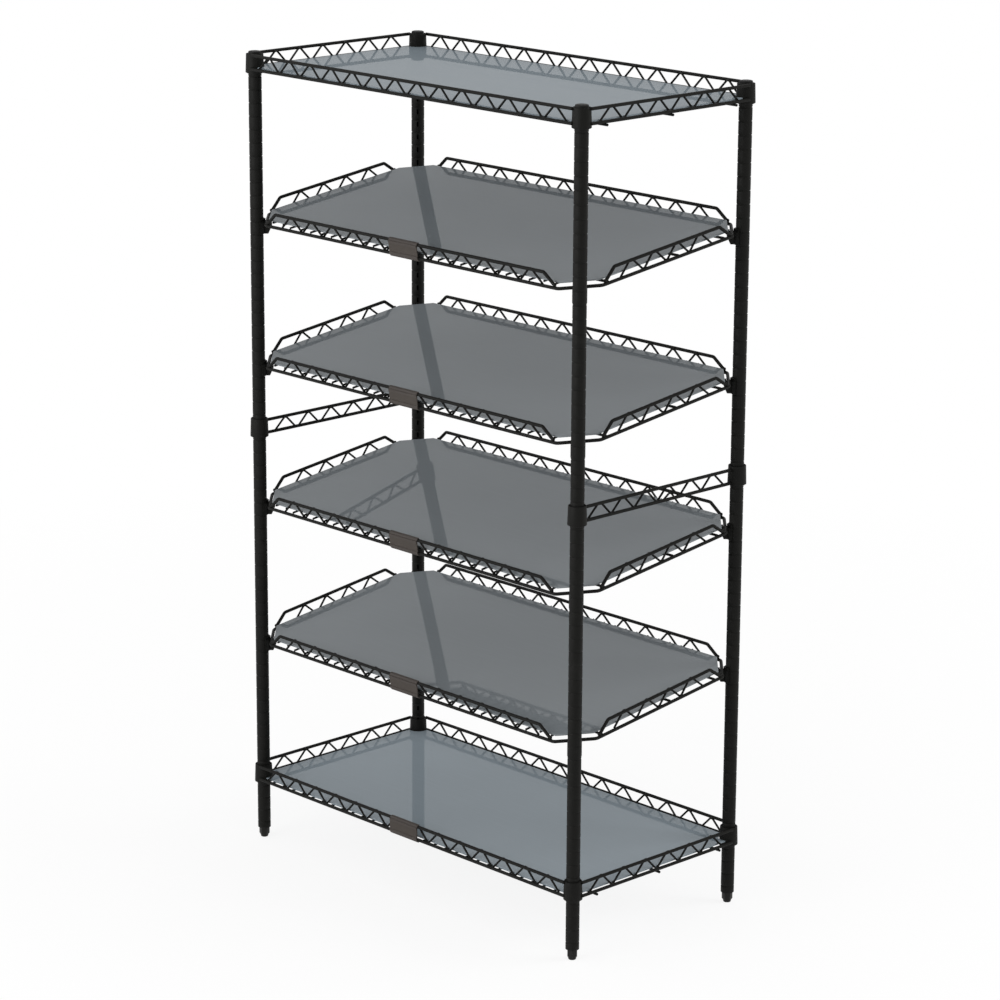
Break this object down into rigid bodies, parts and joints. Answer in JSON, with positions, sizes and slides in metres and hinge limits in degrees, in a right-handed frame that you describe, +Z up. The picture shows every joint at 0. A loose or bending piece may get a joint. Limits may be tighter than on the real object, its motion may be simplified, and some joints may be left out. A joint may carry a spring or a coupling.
{
  "type": "pickup shelving rack",
  "caption": "Free-standing black wire rack with flat top and bottom shelves, forward-slanting shelves between them, grey inlay panels, side braces and blank label holders.",
  "frame": {"origin": "on the floor, at the middle of the rack's plan", "axes": "+Z up, X along the long side, -Y to the front where the labels are"},
  "size_m": [0.916, 0.4605, 1.5814],
  "materials": {
    "black_steel": "satin black powder coat",
    "foot_steel": "satin dark grey",
    "black_plastic": "matte black",
    "grey_panel": "glossy smoke grey",
    "label_plastic": "matte brown-grey",
    "label_card": "matte brown-grey card"
  },
  "bodies": {
    "frame": {"post_left_front": "black_steel", "post_right_front": "black_steel", "post_right_back": "black_steel", "post_left_back": "black_steel", "post_caps": "black_plastic", "foot_inserts": "black_plastic", "top_shelf_collars": "black_steel", "top_shelf_sleeves": "black_plastic", "top_shelf_rails": "black_steel", "top_shelf_zigzags": "black_steel", "top_shelf_mat": "black_steel", "bottom_shelf_collars": "black_steel", "bottom_shelf_sleeves": "black_plastic", "bottom_shelf_rails": "black_steel", "bottom_shelf_zigzags": "black_steel", "bottom_shelf_mat": "black_steel", "side_brace_collars": "black_steel", "side_brace_sleeves": "black_plastic", "side_brace_rails": "black_steel", "side_brace_zigzags": "black_steel", "slanted_shelf_1_brackets": "black_steel", "slanted_shelf_2_brackets": "black_steel", "slanted_shelf_3_brackets": "black_steel", "slanted_shelf_4_brackets": "black_steel"},
    "levelling_foot_left_front": {"levelling_foot_left_front": "foot_steel"},
    "levelling_foot_right_front": {"levelling_foot_right_front": "foot_steel"},
    "levelling_foot_right_back": {"levelling_foot_right_back": "foot_steel"},
    "levelling_foot_left_back": {"levelling_foot_left_back": "foot_steel"},
    "top_shelf_panel": {"top_shelf_panel": "grey_panel"},
    "bottom_shelf_panel": {"bottom_shelf_panel": "grey_panel"},
    "slanted_shelf_1": {"slanted_shelf_1_loop": "black_steel", "slanted_shelf_1_rails": "black_steel", "slanted_shelf_1_zigzags": "black_steel", "slanted_shelf_1_mat": "black_steel"},
    "slanted_shelf_1_panel": {"slanted_shelf_1_panel": "grey_panel"},
    "slanted_shelf_2": {"slanted_shelf_2_loop": "black_steel", "slanted_shelf_2_rails": "black_steel", "slanted_shelf_2_zigzags": "black_steel", "slanted_shelf_2_mat": "black_steel"},
    "slanted_shelf_2_panel": {"slanted_shelf_2_panel": "grey_panel"},
    "slanted_shelf_3": {"slanted_shelf_3_loop": "black_steel", "slanted_shelf_3_rails": "black_steel", "slanted_shelf_3_zigzags": "black_steel", "slanted_shelf_3_mat": "black_steel"},
    "slanted_shelf_3_panel": {"slanted_shelf_3_panel": "grey_panel"},
    "slanted_shelf_4": {"slanted_shelf_4_loop": "black_steel", "slanted_shelf_4_rails": "black_steel", "slanted_shelf_4_zigzags": "black_steel", "slanted_shelf_4_mat": "black_steel"},
    "slanted_shelf_4_panel": {"slanted_shelf_4_panel": "grey_panel"},
    "slanted_shelf_1_label": {"slanted_shelf_1_label_holder": "label_plastic", "slanted_shelf_1_label_card": "label_card"},
    "slanted_shelf_2_label": {"slanted_shelf_2_label_holder": "label_plastic", "slanted_shelf_2_label_card": "label_card"},
    "slanted_shelf_3_label": {"slanted_shelf_3_label_holder": "label_plastic", "slanted_shelf_3_label_card": "label_card"},
    "slanted_shelf_4_label": {"slanted_shelf_4_label_holder": "label_plastic", "slanted_shelf_4_label_card": "label_card"},
    "bottom_shelf_label": {"bottom_shelf_label_holder": "label_plastic", "bottom_shelf_label_card": "label_card"}
  },
  "joints": [
    {"name": "levelling_foot_left_front_screw", "type": "slide", "parent": "frame", "child": "levelling_foot_left_front", "axis": [0, 0, -1], "range_m": [0, 0.019]},
    {"name": "levelling_foot_right_front_screw", "type": "slide", "parent": "frame", "child": "levelling_foot_right_front", "axis": [0, 0, -1], "range_m": [0, 0.019]},
    {"name": "levelling_foot_right_back_screw", "type": "slide", "parent": "frame", "child": "levelling_foot_right_back", "axis": [0, 0, -1], "range_m": [0, 0.019]},
    {"name": "levelling_foot_left_back_screw", "type": "slide", "parent": "frame", "child": "levelling_foot_left_back", "axis": [0, 0, -1], "range_m": [0, 0.019]},
    {"name": "top_shelf_panel_lift", "type": "slide", "parent": "frame", "child": "top_shelf_panel", "axis": [0, 0, 1], "range_m": [0, 0.06]},
    {"name": "bottom_shelf_panel_lift", "type": "slide", "parent": "frame", "child": "bottom_shelf_panel", "axis": [0, 0, 1], "range_m": [0, 0.06]},
    {"name": "slanted_shelf_1_lift", "type": "slide", "parent": "frame", "child": "slanted_shelf_1", "axis": [0, 0, 1], "range_m": [0, 0.03]},
    {"name": "slanted_shelf_1_panel_lift", "type": "slide", "parent": "slanted_shelf_1", "child": "slanted_shelf_1_panel", "axis": [0, -0.129, 0.9916], "range_m": [0, 0.03]},
    {"name": "slanted_shelf_2_lift", "type": "slide", "parent": "frame", "child": "slanted_shelf_2", "axis": [0, 0, 1], "range_m": [0, 0.03]},
    {"name": "slanted_shelf_2_panel_lift", "type": "slide", "parent": "slanted_shelf_2", "child": "slanted_shelf_2_panel", "axis": [0, -0.129, 0.9916], "range_m": [0, 0.03]},
    {"name": "slanted_shelf_3_lift", "type": "slide", "parent": "frame", "child": "slanted_shelf_3", "axis": [0, 0, 1], "range_m": [0, 0.03]},
    {"name": "slanted_shelf_3_panel_lift", "type": "slide", "parent": "slanted_shelf_3", "child": "slanted_shelf_3_panel", "axis": [0, -0.129, 0.9916], "range_m": [0, 0.03]},
    {"name": "slanted_shelf_4_lift", "type": "slide", "parent": "frame", "child": "slanted_shelf_4", "axis": [0, 0, 1], "range_m": [0, 0.03]},
    {"name": "slanted_shelf_4_panel_lift", "type": "slide", "parent": "slanted_shelf_4", "child": "slanted_shelf_4_panel", "axis": [0, -0.129, 0.9916], "range_m": [0, 0.03]},
    {"name": "slanted_shelf_1_label_slide", "type": "slide", "parent": "slanted_shelf_1", "child": "slanted_shelf_1_label", "axis": [1, 0, 0], "range_m": [-0.295, 0.295]},
    {"name": "slanted_shelf_2_label_slide", "type": "slide", "parent": "slanted_shelf_2", "child": "slanted_shelf_2_label", "axis": [1, 0, 0], "range_m": [-0.295, 0.295]},
    {"name": "slanted_shelf_3_label_slide", "type": "slide", "parent": "slanted_shelf_3", "child": "slanted_shelf_3_label", "axis": [1, 0, 0], "range_m": [-0.295, 0.295]},
    {"name": "slanted_shelf_4_label_slide", "type": "slide", "parent": "slanted_shelf_4", "child": "slanted_shelf_4_label", "axis": [1, 0, 0], "range_m": [-0.295, 0.295]},
    {"name": "bottom_shelf_label_slide", "type": "slide", "parent": "frame", "child": "bottom_shelf_label", "axis": [1, 0, 0], "range_m": [-0.295, 0.295]}
  ]
}
